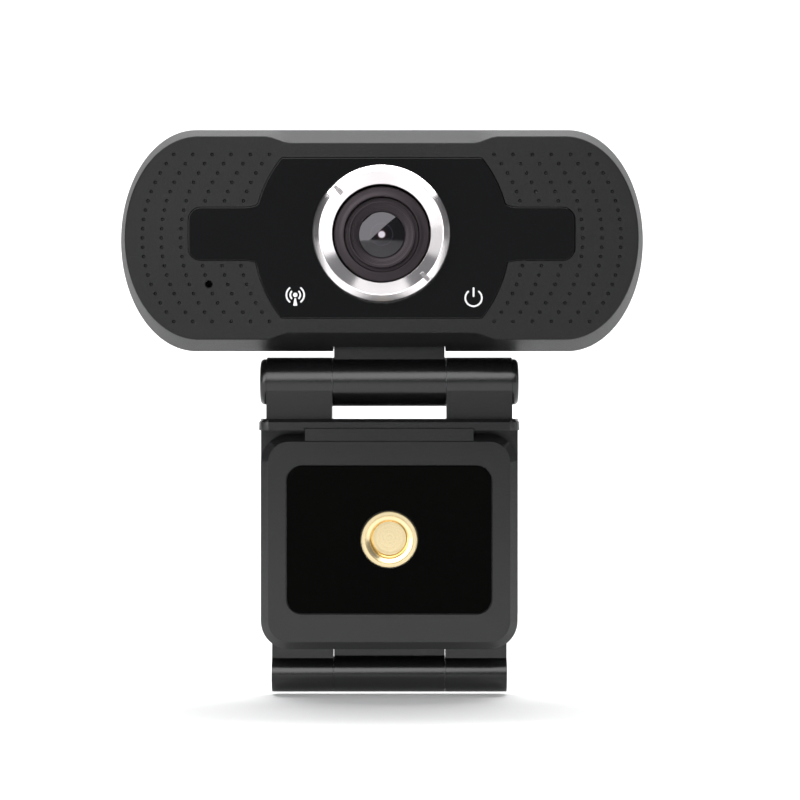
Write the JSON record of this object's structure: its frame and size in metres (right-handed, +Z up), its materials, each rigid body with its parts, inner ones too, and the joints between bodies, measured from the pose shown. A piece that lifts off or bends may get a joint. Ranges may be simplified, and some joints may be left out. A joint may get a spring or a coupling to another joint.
{
  "type": "webcam",
  "caption": "Webcam with a wide rounded head, a manual focus lens, a tilting neck and a folding monitor clip whose leg has a tripod nut.",
  "frame": {"origin": "below the middle of the whole webcam's box, on the level of the lower hinge's lowest point, with the clip folded and hanging straight down from the head", "axes": "+Z up, +X to the right seen from the front, +Y from the lens to the back; the lens looks along -Y"},
  "size_m": [0.0782, 0.0238, 0.0845],
  "materials": {
    "head_plastic": "fine matt grain, near black",
    "clip_plastic": "satin moulded, near black",
    "gloss_panel": "polished piano black",
    "chrome": "polished",
    "black_metal": "black anodised, turned",
    "glass": "polished, coated",
    "brass": "turned, bright",
    "steel": "zinc plated",
    "rubber": "matt",
    "circuit_board": "green solder mask",
    "black_moulding": "matt",
    "clear_plastic": "clear, moulded",
    "white_plastic": "moulded"
  },
  "bodies": {
    "clip": {"clip_plate": "clip_plastic", "plate_pad": "rubber", "tilt_bolt": "steel", "tilt_nut": "steel", "tilt_washer_left": "steel", "tilt_washer_right": "steel", "hinge_cap_left": "clip_plastic", "hinge_cap_right": "clip_plastic", "fold_pin": "steel"},
    "head": {"front_cover": "head_plastic", "front_panel": "gloss_panel", "lens_ring": "chrome", "rear_cover": "head_plastic", "cord_grommet": "rubber", "neck": "clip_plastic", "cover_screw_1": "steel", "cover_screw_2": "steel", "neck_screw_1": "steel", "neck_screw_2": "steel", "main_board": "circuit_board", "board_screw_1": "steel", "board_screw_2": "steel", "board_screw_3": "steel", "board_screw_4": "steel", "lens_holder": "black_moulding", "infrared_filter": "glass", "image_sensor": "black_moulding", "controller_chip": "black_moulding", "crystal": "steel", "lead_header": "white_plastic", "signal_light_guide": "clear_plastic", "signal_led": "clear_plastic", "power_light_guide": "clear_plastic", "power_led": "clear_plastic", "microphone_boot": "rubber", "microphone": "black_moulding"},
    "lens_barrel": {"lens_barrel": "black_metal", "lens_retainer": "black_metal"},
    "lens_group": {"front_lens": "glass", "aperture_stop": "black_metal", "rear_lens": "glass"},
    "leg": {"leg_frame": "clip_plastic", "leg_back": "clip_plastic", "face_pad": "rubber", "tripod_nut": "brass", "grip_pad": "rubber", "leg_screw_1": "steel", "leg_screw_2": "steel", "leg_screw_3": "steel", "leg_screw_4": "steel"}
  },
  "joints": [
    {"name": "head_tilt", "type": "hinge", "parent": "clip", "child": "head", "pos_m": [0.0011, 0.00103, 0.04674], "axis": [1, 0, 0], "range_deg": [-105, 75]},
    {"name": "leg_fold", "type": "hinge", "parent": "clip", "child": "leg", "pos_m": [0.0011, 0.00143, 0.0027], "axis": [1, 0, 0], "range_deg": [0, 180]},
    {"name": "focus_turn", "type": "hinge", "parent": "head", "child": "lens_barrel", "pos_m": [0, -0.008, 0.0684], "axis": [0, 1, 0], "range_deg": [-180, 180]},
    {"name": "focus_travel", "type": "slide", "parent": "lens_barrel", "child": "lens_group", "axis": [0, 1, 0], "range_m": [-0.00025, 0.00025]}
  ],
  "couplings": [
    {"joint": "focus_turn", "follows": "focus_travel", "rad_per_m": 12566}
  ]
}
